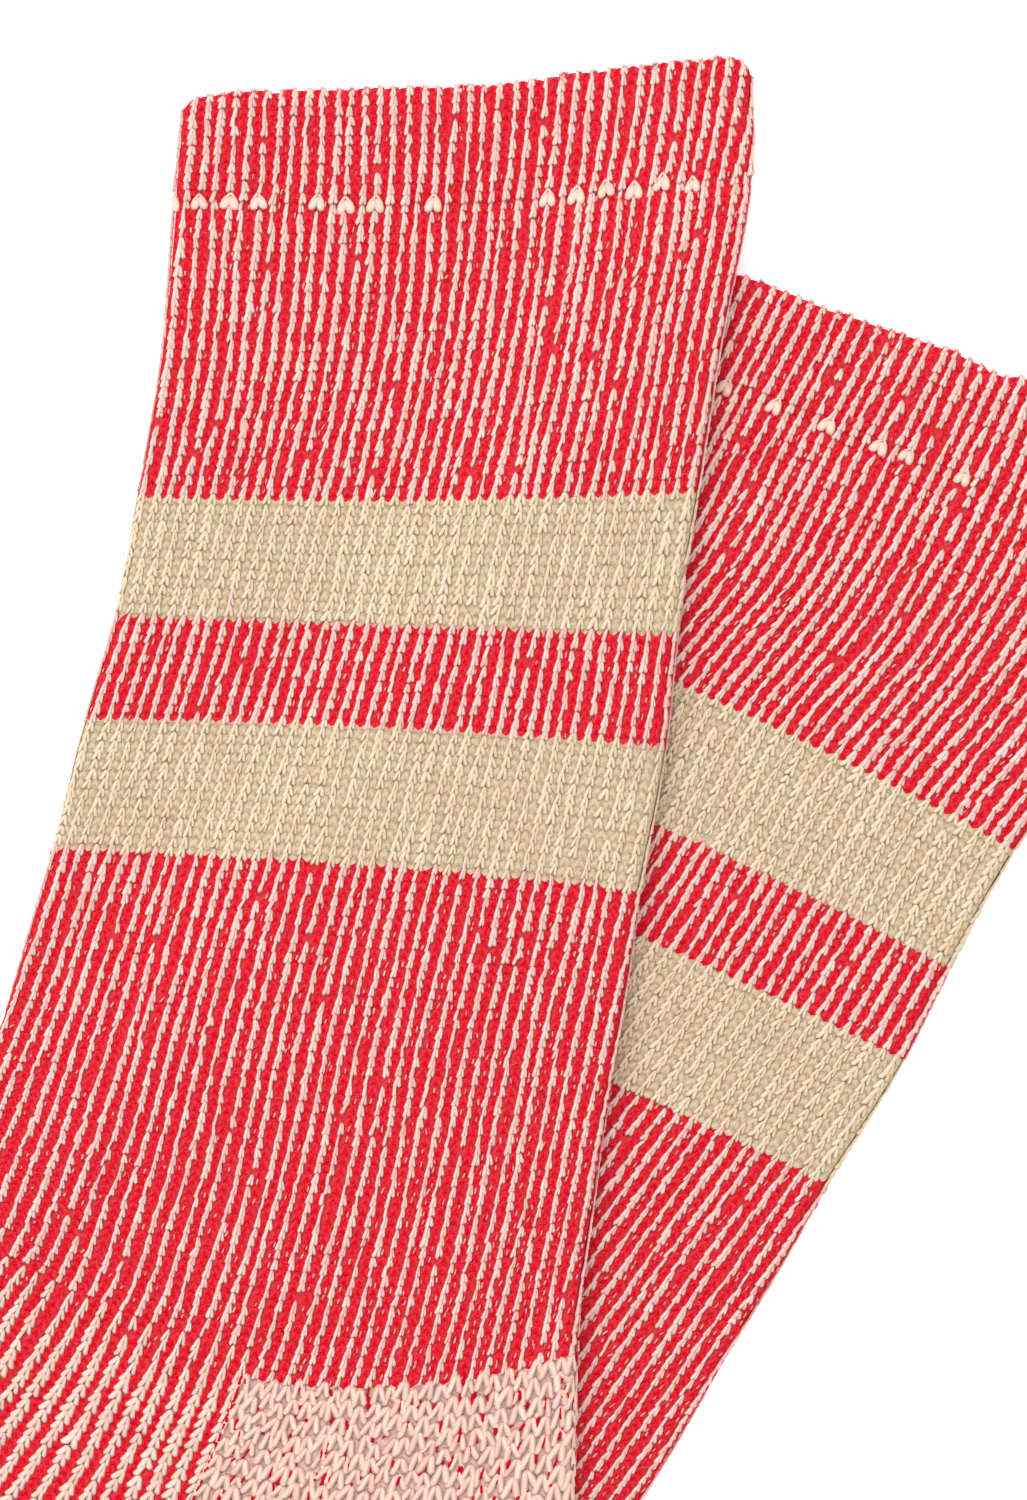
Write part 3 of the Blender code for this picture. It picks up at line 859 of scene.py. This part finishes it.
def layYarns(sock, pattern, places):
    count = len(places["q"])
    base = pattern["points"][None]
    x = base[..., 0] * places["wide"][:, None]
    y = base[..., 1] * places["long"][:, None]
    turn = places["turn"][:, None]
    turned = x * np.cos(turn) - y * np.sin(turn)
    y = x * np.sin(turn) + y * np.cos(turn)
    q = places["q"][:, None] - y * mm * places["stretch"][:, None]
    c = places["c"][:, None] + turned * mm / pitchAt(sock, places["q"])[:, None]
    z = base[..., 2] * places["thick"][:, None] + places["lift"][:, None]
    points = sockPoints(sock, q.ravel(), c.ravel(), z.ravel() * mm)
    points[:, 2] = np.maximum(points[:, 2], 0.02 * mm)    # pressed flat on the table
    size = base.shape[1]
    loops = len(pattern["corners"])
    number = np.arange(count)[:, None]
    corners = (pattern["corners"][None] + number * size).ravel()
    starts = (pattern["starts"][None] + number * loops).ravel()
    uvs = pattern["uvs"][None] + places["tone"][:, None, None] * stitchTone["fibreShift"]
    # Painted shade: each stitch takes a darker tone towards its low side
    high = (base[..., 2] - base[..., 2].min()) / np.ptp(base[..., 2])
    paintedShade = stitchTone["paintedShade"] * (high - stitchTone["level"])
    return {
        "points": points,
        "corners": corners,
        "starts": starts,
        "uvs": uvs.reshape(-1, 2),
        "tone": (places["tone"][:, None] * stitchTone["own"] + paintedShade).ravel(),
        "stripe": np.repeat(places["stripe"], size),
        "slot": np.repeat(places["slot"], len(pattern["starts"])),
    }


def joinYarns(name, sock, layers, materials):
    pointCount = np.cumsum([0] + [len(layer["points"]) for layer in layers])
    loopCount = np.cumsum([0] + [len(layer["corners"]) for layer in layers])
    corners = np.concatenate([layer["corners"] + n for layer, n in zip(layers, pointCount)])
    starts = np.concatenate([layer["starts"] + n for layer, n in zip(layers, loopCount)])
    points = np.concatenate([layer["points"] for layer in layers])
    piece = buildMesh(sock["node"] + "_" + name, points, corners, starts, materials)
    addUv(piece.data, "yarn", np.concatenate([layer["uvs"] for layer in layers]))
    addValue(piece.data, "tone", np.concatenate([layer["tone"] for layer in layers]))
    addValue(piece.data, "stripe", np.concatenate([layer["stripe"] for layer in layers]))
    slots = np.concatenate([layer["slot"] for layer in layers])
    piece.data.polygons.foreach_set("material_index", slots.astype(np.int32))
    sock.setdefault("pieces", []).append(piece)
    print("  " + piece.name, len(piece.data.loops) - 2 * len(piece.data.polygons), "triangles")


# Smooth noise along each wale
def drift(rng, wales, courses, reach):
    window = np.hanning(2 * reach + 3)
    rough = rng.normal(size=(wales, courses + 2 * reach + 2))
    smooth = np.array([np.convolve(row, window, "valid") for row in rough])
    return smooth[:, :courses] / math.sqrt((window ** 2).sum())


# Courses between two rows, evenly spaced in the cloth along one line of it
def courseStations(sock, start, stop, share, pitch):
    q = np.linspace(start, stop, 400)
    line = sockPoints(sock, q, np.full(400, share * knit["ribs"]), np.zeros(400))
    length = np.concatenate(((0,), np.cumsum(np.linalg.norm(np.diff(line, axis=0), axis=1))))
    count = int(round(length[-1] / pitch))
    marks = (np.arange(count) + 0.5) / count * length[-1]
    stations = np.interp(marks, length, q)
    stretch = np.gradient(q, length)
    return stations, np.interp(marks, length, stretch)


# The cream wales of the leg: chains of links like a row of leaves, pointing to the cuff
chain = {
    "leftLeg": (
        (0.06, 1.30, -0.14, 0.0, 0.0),
        (-0.04, 0.82, 0.14, 0.54, 0.42),
        (-0.22, -0.66, 0.22, 0.70, 0.48),
        (-0.22, -1.22, -0.02, 0.0, 0.0),
    ),
    "rightLeg": (
        (0.14, 1.15, -0.16, 0.0, 0.0),
        (0.20, 0.70, 0.08, 0.46, 0.38),
        (0.38, -0.56, 0.16, 0.60, 0.44),
        (0.38, -1.08, -0.06, 0.0, 0.0),
    ),
    "rightShare": 0.86,        # how many links show their right leg
    "dropped": 0.012,          # how many hide altogether
    "wander": 0.14,            # mm that a wale strays from its way
    "jitter": 0.08,            # mm aside from link to link
    "swelling": 0.12,          # how much its width changes along the wale
    "uneven": 0.09,            # and from link to link
    "width": 1.02,             # at the cuff
    "slimming": 0.12,          # how much narrower at the heel
    "stripeNarrow": 0.12,      # how much narrower in a stripe
    "stripeFlat": 0.22,
}
tuckReach = 1.6 * mm          # how much of its wale a tuck stitch takes up


def chainPlaces(sock):
    rng = np.random.default_rng(sock["seed"] + 1)
    at = sock["at"]
    top, topStretch = courseStations(sock, 0.0, at["heelTop"], 0.5, knit["course"])
    top = np.concatenate((top[:1] - knit["course"], top))
    topStretch = np.concatenate((topStretch[:1], topStretch))
    wales = np.arange(-1, knit["ribs"] + knit["twist"] + 1)
    q, c = np.meshgrid(top, wales + knit["crest"], indexing="xy")
    stretch = np.broadcast_to(topStretch, q.shape)
    size = q.shape
    wander = drift(rng, *size, 9) * chain["wander"] + rng.normal(size=size) * chain["jitter"]
    c = c + leanAt(sock, q, c) + wander * mm / pitchAt(sock, q)
    q = q + rng.normal(size=size) * 0.12 * mm
    plump = 1 + drift(rng, *size, 2) * chain["swelling"] + rng.normal(size=size) * chain["uneven"]
    plump = np.clip(plump, 0.7, 1.3)
    shown = (rng.random(size) > chain["dropped"]) & onFace(c, 0.5)
    shown &= (q < at["heelTop"] - instep["early"]) | (c > knit["ribs"] / 2)
    near = abs(q - at["weltBase"]) < tuckReach
    tucked = np.isin(wales, sock["tucks"])[:, None]
    shown &= ~(near & tucked)
    groove = knit["tuckGroove"] * smoothStep(1 - abs(q - at["weltBase"]) / knit["tuckHalfWidth"])
    swell = knit["weltSwell"] * (q < at["weltBase"])
    lift = (swell - groove) / mm + rng.normal(size=size) * 0.03
    slender = chain["width"] - chain["slimming"] * smoothStep(q / at["heelTop"])
    striped = isStripe(sock, q)
    places = {
        "q": q,
        "c": c,
        "stretch": stretch,
        "wide": plump * slender * (1 - chain["stripeNarrow"] * striped),
        "long": 1 + rng.normal(size=size) * 0.08,
        "thick": (0.85 + 0.15 * plump) * (1 - chain["stripeFlat"] * striped),
        "turn": rng.normal(size=size) * 0.09,
        "lift": lift,
        "tone": np.clip(rng.normal(size=size) * 0.12, -0.3, 0.3),
        "stripe": striped * 1.0,
        "slot": np.zeros(size, dtype=int),
    }
    right = shown & (rng.random(size) < chain["rightShare"])
    return places, shown, right


def pick(places, shown):
    return {name: np.asarray(value)[shown] for name, value in places.items()}


def buildChains(sock):
    places, shown, right = chainPlaces(sock)
    stripes = places["stripe"] > 0
    layers = [
        layYarns(sock, patterns["chainLeft"], pick(places, shown & ~stripes)),
        layYarns(sock, patterns["chainRight"], pick(places, right & ~stripes)),
        layYarns(sock, patterns["instepLeft"], pick(places, shown & stripes)),
        layYarns(sock, patterns["instepRight"], pick(places, shown & stripes)),
    ]
    joinYarns("wales", sock, layers, (cream,))


# The wide cream wales of the instep
instep = {
    "leftLeg": (
        (0.10, 1.34, -0.12, 0.0, 0.0),
        (-0.06, 0.84, 0.15, 0.70, 0.44),
        (-0.48, -0.62, 0.24, 0.90, 0.50),
        (-0.62, -1.14, -0.04, 0.0, 0.0),
    ),
    "rightLeg": (
        (0.06, 1.24, -0.14, 0.0, 0.0),
        (0.20, 0.76, 0.11, 0.62, 0.42),
        (0.54, -0.62, 0.18, 0.80, 0.46),
        (0.68, -1.12, -0.08, 0.0, 0.0),
    ),
    "early": 4 * mm,           # they start this far above the heel
    "widening": 15 * mm,       # they are full width this far on
    "startWidth": 0.64,
    "spacing": 2.38 * mm,      # the rib spacing that the legs above are shaped for
    "wander": 0.12,
    "jitter": 0.08,
    "swelling": 0.10,
    "uneven": 0.10,
}


def buildInstep(sock):
    rng = np.random.default_rng(sock["seed"] + 2)
    at = sock["at"]
    start = at["heelTop"] - instep["early"]
    stations, stretch = courseStations(sock, start, at["toeStart"], 0.25, knit["course"])
    wales = np.arange(-1, knit["ribs"] // 2 + 1) + knit["twist"]
    q, c = np.meshgrid(stations, wales + knit["crest"], indexing="xy")
    stretch = np.broadcast_to(stretch, q.shape)
    size = q.shape
    wander = drift(rng, *size, 9) * instep["wander"] + rng.normal(size=size) * instep["jitter"]
    c = c + leanAt(sock, q, c) + wander * mm / pitchAt(sock, q)
    q = q + rng.normal(size=size) * 0.12 * mm
    grown = smoothStep((q - start) / instep["widening"])
    widened = instep["startWidth"] + (1 - instep["startWidth"]) * grown
    plump = 1 + drift(rng, *size, 3) * instep["swelling"] + rng.normal(size=size) * instep["uneven"]
    pitchShare = pitchAt(sock, q) / instep["spacing"]
    places = {
        "q": q,
        "c": c,
        "stretch": stretch,
        "wide": widened * plump * pitchShare,
        "long": 1 + rng.normal(size=size) * 0.06,
        "thick": plump,
        "turn": rng.normal(size=size) * 0.10,
        "lift": rng.normal(size=size) * 0.03,
        "tone": np.clip(rng.normal(size=size) * 0.16, -0.4, 0.4),
        # a share of the duller stripe colours: painted shade, as the light falls off over the instep
        "stripe": np.full(size, 0.15),
        "slot": np.zeros(size, dtype=int),
    }
    shown = (rng.random(size) > 0.01) & onFace(c, 0.8)
    layers = [
        layYarns(sock, patterns["instepLeft"], pick(places, shown)),
        layYarns(sock, patterns["instepRight"], pick(places, shown & (rng.random(size) < 0.97))),
    ]
    joinYarns("instep", sock, layers, (plaited,))


# Plain knit of the heel, sole and toe, with a thin red mark where the back yarn shows
plain = {
    "leftLeg": (
        (-0.02, 1.76, -0.14, 0.0, 0.0),
        (-0.22, 1.04, 0.14, 0.98, 0.50),
        (-0.76, -0.86, 0.22, 1.10, 0.56),
        (-0.84, -1.58, -0.06, 0.0, 0.0),
    ),
    "rightLeg": (
        (0.04, 1.70, -0.16, 0.0, 0.0),
        (0.24, 1.00, 0.11, 0.92, 0.48),
        (0.74, -0.86, 0.19, 1.04, 0.54),
        (0.84, -1.58, -0.08, 0.0, 0.0),
    ),
    "redShare": 0.8,
    "course": 2.7 * mm,        # its stitches are large: two rows of the leg to one
    "wales": 1.25,             # wales to a rib
    "spacing": 2.3 * mm,       # the rib spacing that the legs above are shaped for
    "length": 1.12,
    "stagger": 0.25,           # rows that neighbours are apart
    "markWidth": (0.40, 0.85),
    "markLength": (0.40, 0.90),
    "markLift": (0.06, 0.20),  # mm
}


def plainPlaces(sock, start, stop, share, ends, salt):
    rng = np.random.default_rng(sock["seed"] + salt)
    stations, stretch = courseStations(sock, start, stop, share, plain["course"])
    first, last = ends
    count = round((last - first) * plain["wales"])
    q, c = np.meshgrid(stations, first + (np.arange(count) + 0.5) / count * (last - first), indexing="xy")
    stretch = np.broadcast_to(stretch, q.shape)
    size = q.shape
    stagger = (np.arange(count) % 2 - 0.5)[:, None] * plain["stagger"] * plain["course"]
    places = {
        "q": q + stagger + rng.normal(size=size) * 0.25 * mm,
        "c": c + rng.normal(size=size) * 0.08,
        "stretch": stretch,
        "wide": pitchAt(sock, q) / plain["spacing"] * (1 + rng.normal(size=size) * 0.08),
        "long": plain["length"] + rng.normal(size=size) * 0.08,
        "thick": 1 + rng.normal(size=size) * 0.12,
        "turn": rng.normal(size=size) * 0.15,
        "lift": rng.normal(size=size) * 0.09,
        "tone": np.clip(rng.normal(size=size) * 0.16, -0.4, 0.4),
        # a share of the duller stripe colours: painted shade, as the light falls off over the heel, sole
        # and toe
        "stripe": np.full(size, 0.3),
        "slot": np.zeros(size, dtype=int),
    }
    return {name: np.asarray(value).ravel() for name, value in places.items()}


def between(rng, limits, count):
    low, high = limits
    return low + rng.random(count) * (high - low)


# The red marks lie between its legs
def markPlaces(sock, legs, salt):
    rng = np.random.default_rng(sock["seed"] + salt)
    count = len(legs["q"])
    chosen = rng.random(count) < plain["redShare"]
    aside = rng.choice((-0.5, 0.0, 0.5), count) / plain["wales"]
    marks = dict(legs)
    marks["q"] = legs["q"] + rng.normal(size=count) * 0.8 * mm
    marks["c"] = legs["c"] + aside + rng.normal(size=count) * 0.04
    marks["wide"] = between(rng, plain["markWidth"], count)
    marks["long"] = between(rng, plain["markLength"], count)
    marks["thick"] = np.full(count, 0.6)
    marks["turn"] = rng.normal(size=count) * 0.30
    marks["lift"] = between(rng, plain["markLift"], count)
    marks["slot"] = np.ones(count, dtype=int)
    return pick(marks, chosen)


# A thin red line of the instep's yarn runs down beside the heel and sole
def seamPlaces(sock, start, stop):
    rng = np.random.default_rng(sock["seed"] + 8)
    q, stretch = courseStations(sock, start, stop, 0.5, knit["course"])
    count = len(q)
    return {
        "q": q,
        "c": np.full(count, knit["ribs"] / 2 - 0.02) + rng.normal(size=count) * 0.02,
        "stretch": stretch,
        "wide": 0.45 + rng.random(count) * 0.2,
        "long": 0.6 + rng.normal(size=count) * 0.05,
        "thick": np.full(count, 0.8),
        "turn": rng.normal(size=count) * 0.06,
        "lift": 0.24 + rng.normal(size=count) * 0.04,
        "tone": np.clip(rng.normal(size=count) * 0.12, -0.3, 0.3),
        "stripe": np.zeros(count),
        "slot": np.ones(count, dtype=int),
    }


def buildPlain(sock):
    at = sock["at"]
    ribs = knit["ribs"]
    end = sock["end"] + quarterLip - knit["wall"] / 2 + knit["toeRound"] * 0.6
    sole = (ribs / 2, ribs + 1.5)
    toe = (-1.5, ribs + 1.5)
    layers = [layYarns(sock, patterns["mark"], seamPlaces(sock, at["heelTop"], at["toeStart"]))]
    for start, stop, share, ends, salt in ((at["heelTop"], at["toeStart"], 0.78, sole, 3),
                                           (at["toeStart"], end, 0.5, toe, 4)):
        legs = plainPlaces(sock, start, stop, share, ends, salt)
        layers.append(layYarns(sock, patterns["plainLeft"], legs))
        layers.append(layYarns(sock, patterns["plainRight"], dict(legs, tone=-legs["tone"])))
        layers.append(layYarns(sock, patterns["mark"], markPlaces(sock, legs, salt + 20)))
    joinYarns("plain_knit", sock, layers, (plaited, redStrand))


# One red mark
mark = (
    (0.0, 1.60, -0.10, 0.0, 0.0),
    (0.0, 1.00, 0.12, 0.80, 0.40),
    (0.0, -1.00, 0.12, 0.80, 0.40),
    (0.0, -1.60, -0.10, 0.0, 0.0),
)

# Cream flecks in the red wales
fleck = {
    "grain": (
        (0.05, 0.62, 0.00, 0.0, 0.0),
        (0.03, 0.34, 0.16, 0.28, 0.22),
        (-0.03, -0.30, 0.16, 0.30, 0.22),
        (-0.05, -0.58, 0.00, 0.0, 0.0),
    ),
    "share": 0.15,             # of the stitches between two wales
    "lowShare": 0.6,           # low down at the back of the leg
    "lowFrom": 125 * mm,       # from here down
    "lowOver": 70 * mm,
    "width": (0.7, 1.2),
    "length": (0.6, 1.1),
}


def buildFlecks(sock):
    rng = np.random.default_rng(sock["seed"] + 5)
    at = sock["at"]
    stations, stretch = courseStations(sock, 0.0, at["heelTop"], 0.5, knit["course"])
    wales = np.arange(0, knit["ribs"] + knit["twist"])
    q, c = np.meshgrid(stations, wales + knit["crest"] + 0.5, indexing="xy")
    size = q.shape
    c = c + leanAt(sock, q, c)
    share = c / knit["ribs"]
    low = smoothStep((q - fleck["lowFrom"]) / fleck["lowOver"]) * smoothStep((share - 0.45) / 0.4)
    chance = fleck["share"] + (fleck["lowShare"] - fleck["share"]) * low
    shown = (rng.random(size) < chance) & ~isStripe(sock, q) & onFace(c, 0.3)
    c = c + rng.normal(size=size) * 0.07
    q = q + rng.normal(size=size) * 0.3 * mm
    places = {
        "q": q,
        "c": c,
        "stretch": np.ones(size),
        "wide": between(rng, fleck["width"], size),
        "long": between(rng, fleck["length"], size),
        "thick": np.ones(size),
        "turn": rng.normal(size=size) * 0.16,
        "lift": 0.02 + rng.normal(size=size) * 0.04,
        "tone": np.clip(rng.normal(size=size) * 0.2, -0.4, 0.4) - 0.4,
        "stripe": np.zeros(size),
        "slot": np.zeros(size, dtype=int),
    }
    joinYarns("flecks", sock, [layYarns(sock, patterns["fleck"], pick(places, shown))], (cream,))


# The row where the turned cuff is knitted in: a plump heart below two tight legs
heart = {
    "leftLobe": (
        (-0.05, 1.15, -0.10, 0.0, 0.0),
        (-0.26, 0.85, 0.10, 0.80, 0.50),
        (-0.42, 0.30, 0.18, 1.10, 0.64),
        (-0.54, -0.35, 0.20, 1.22, 0.70),
        (-0.62, -0.90, 0.12, 0.98, 0.56),
        (-0.64, -1.26, -0.10, 0.0, 0.0),
    ),
    "leftStrand": (
        (0.05, 1.75, 0.10, 0.0, 0.0),
        (-0.16, 1.15, 0.40, 0.46, 0.34),
        (-0.70, 0.35, 0.44, 0.44, 0.32),
        (-1.15, -0.45, 0.05, 0.0, 0.0),
    ),
}


def mirrored(levels):
    return tuple((-x, *rest) for x, *rest in levels)


def buildTucks(sock):
    rng = np.random.default_rng(sock["seed"] + 6)
    wales = np.array(sock["tucks"])
    q = np.full(len(wales), sock["at"]["weltBase"])
    count = len(wales)
    places = {
        "q": q + rng.normal(size=count) * 0.25 * mm,
        "c": wales + knit["crest"] + rng.normal(size=count) * 0.04,
        "stretch": np.ones(count),
        "wide": 1.05 + rng.random(count) * 0.25,
        "long": 1.0 + rng.random(count) * 0.2,
        "thick": 0.85 + rng.random(count) * 0.2,
        "turn": rng.normal(size=count) * 0.06,
        "lift": np.full(count, -0.05),
        "tone": np.clip(rng.normal(size=count) * 0.1, -0.3, 0.3),
        "stripe": np.full(count, 0.35),
        "slot": np.zeros(count, dtype=int),
    }
    bright = dict(places, stripe=np.zeros(count))
    layers = [
        layYarns(sock, patterns["heartLeft"], places),
        layYarns(sock, patterns["heartRight"], places),
        layYarns(sock, patterns["strandLeft"], bright),
        layYarns(sock, patterns["strandRight"], bright),
    ]
    joinYarns("tuck_row", sock, layers, (plaited,))


# Loose fibres that lie over the face and stand off the edges
hair = {
    "strand": (
        (0.25, 1.0, -0.15, 0.0, 0.0),
        (0.05, 0.35, 0.10, 0.026, 0.026),
        (0.0, -0.35, 0.16, 0.026, 0.026),
        (0.20, -1.0, 0.35, 0.0, 0.0),
    ),
    "count": 1500,
}


def buildHairs(sock):
    rng = np.random.default_rng(sock["seed"] + 7)
    count = hair["count"]
    q = rng.random(count) * (sock["end"] - 2 * mm)
    edge = rng.random(count) < 0.22
    c = rng.random(count) * knit["ribs"]
    near = np.clip(rng.normal(size=count) * 0.4, -0.6, 0.3)
    c = np.where(edge, np.where(rng.random(count) < 0.5, near, knit["ribs"] - near), c)
    places = {
        "q": q,
        "c": c,
        "stretch": np.ones(count),
        "wide": rng.normal(size=count) * 1.6,
        "long": 0.5 + rng.random(count) * 0.7,
        "thick": 0.6 + rng.random(count) * 0.8,
        "turn": rng.random(count) * 2 * math.pi,
        "lift": 0.12 + rng.random(count) * 0.2,
        "tone": rng.random(count) * 0.3,
        "stripe": np.zeros(count),
        "slot": np.zeros(count, dtype=int),
    }
    places["wide"] = np.where(abs(places["wide"]) < 0.5, 0.5, places["wide"])
    joinYarns("fuzz", sock, [layYarns(sock, patterns["hair"], places)], (cream,))


redStrand = brushedCotton("twistedCottonRed", dict(redYarn, waleShare=0.0))
patterns = {
    "chainLeft": modelYarn("chainLeft", chain["leftLeg"], 5),
    "chainRight": modelYarn("chainRight", chain["rightLeg"], 3),
    "instepLeft": modelYarn("instepLeft", instep["leftLeg"], 5),
    "instepRight": modelYarn("instepRight", instep["rightLeg"], 4),
    "plainLeft": modelYarn("plainLeft", plain["leftLeg"], 4),
    "plainRight": modelYarn("plainRight", plain["rightLeg"], 4),
    "mark": modelYarn("mark", mark, 4),
    "fleck": modelYarn("fleck", fleck["grain"], 4),
    "heartLeft": modelYarn("heartLeft", heart["leftLobe"], 8),
    "heartRight": modelYarn("heartRight", mirrored(heart["leftLobe"]), 8),
    "strandLeft": modelYarn("strandLeft", heart["leftStrand"], 6),
    "strandRight": modelYarn("strandRight", mirrored(heart["leftStrand"]), 6),
    "hair": modelYarn("hair", hair["strand"], 3),
}
print("stitches modelled")

for sock in (underSock, upperSock):
    buildChains(sock)
    buildInstep(sock)
    buildPlain(sock)
    buildFlecks(sock)
    buildTucks(sock)
    buildHairs(sock)
print("stitches laid")


for sock, below in ((underSock, ["floor"]), (upperSock, [underSock["shell"].name])):
    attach(sock["shell"], "root")
    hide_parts(sock["node"])
    for piece in sock["pieces"]:
        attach(piece, "root")
print("pieces attached to the root body")


# Studio: white floor, soft key from the upper left, even fill, camera straight above
studio = {
    "photoCentre": (69.3 * mm, 62.3 * mm),
    "frameHeight": 229.5 * mm,
    "cameraHeight": 1.5,
    "sharpPlane": 5 * mm,
    "keyPower": 17.0,
    "keyPlace": (-0.5, 0.75, 1.35),
    "keySize": 1.7,
    "fill": 0.95,
    "floorGlow": 0.45,         # the table is lit from below, so that it stays white
}

bpy.ops.object.select_all(action="DESELECT")
bpy.ops.mesh.primitive_plane_add(size=6, location=(0, 0, 0))
floor = bpy.context.object
floor.name = "floor"
material, tree = newMaterial("mattWhitePaper")
grain = addNode(tree, "ShaderNodeTexNoise", links={"Scale": 900.0, "Detail": 2.0})
bump = addNode(tree, "ShaderNodeBump", links={"Height": grain.outputs["Fac"], "Distance": 0.02 * mm})
paper = addNode(tree, "ShaderNodeBsdfPrincipled", links={
    "Base Color": paint("#F7F6F8"),
    "Roughness": 0.9,
    "Specular IOR Level": 0.2,
    "Emission Color": (1, 1, 1, 1),
    "Emission Strength": studio["floorGlow"],
    "Normal": bump.outputs["Normal"],
})
addNode(tree, "ShaderNodeOutputMaterial", links={"Surface": paper.outputs["BSDF"]})
floor.data.materials.append(material)

world = bpy.data.worlds.new("studioFill")
world.use_nodes = True
world.node_tree.nodes["Background"].inputs["Color"].default_value = (1.0, 0.99, 1.0, 1)
world.node_tree.nodes["Background"].inputs["Strength"].default_value = studio["fill"]
bpy.context.scene.world = world

centre = np.array((*studio["photoCentre"], 0.0))
keyData = bpy.data.lights.new("softKey", "AREA")
keyData.shape = "DISK"
keyData.size = studio["keySize"]
keyData.energy = studio["keyPower"]
key = bpy.data.objects.new("softKey", keyData)
key.location = centre + studio["keyPlace"]
key.rotation_euler = (-key.location + type(key.location)(centre)).to_track_quat("-Z", "Y").to_euler()
bpy.context.scene.collection.objects.link(key)

lens = bpy.data.cameras.new("camera")
lens.sensor_width = 36
lens.lens = 36 * studio["cameraHeight"] / studio["frameHeight"]
lens.clip_start = 0.05
camera = bpy.data.objects.new("camera", lens)
camera.location = (*studio["photoCentre"], studio["cameraHeight"] + studio["sharpPlane"])
bpy.context.scene.collection.objects.link(camera)
bpy.context.scene.camera = camera
bpy.context.scene.view_settings.view_transform = "Standard"
bpy.context.scene.view_settings.look = "None"
print("studio set")
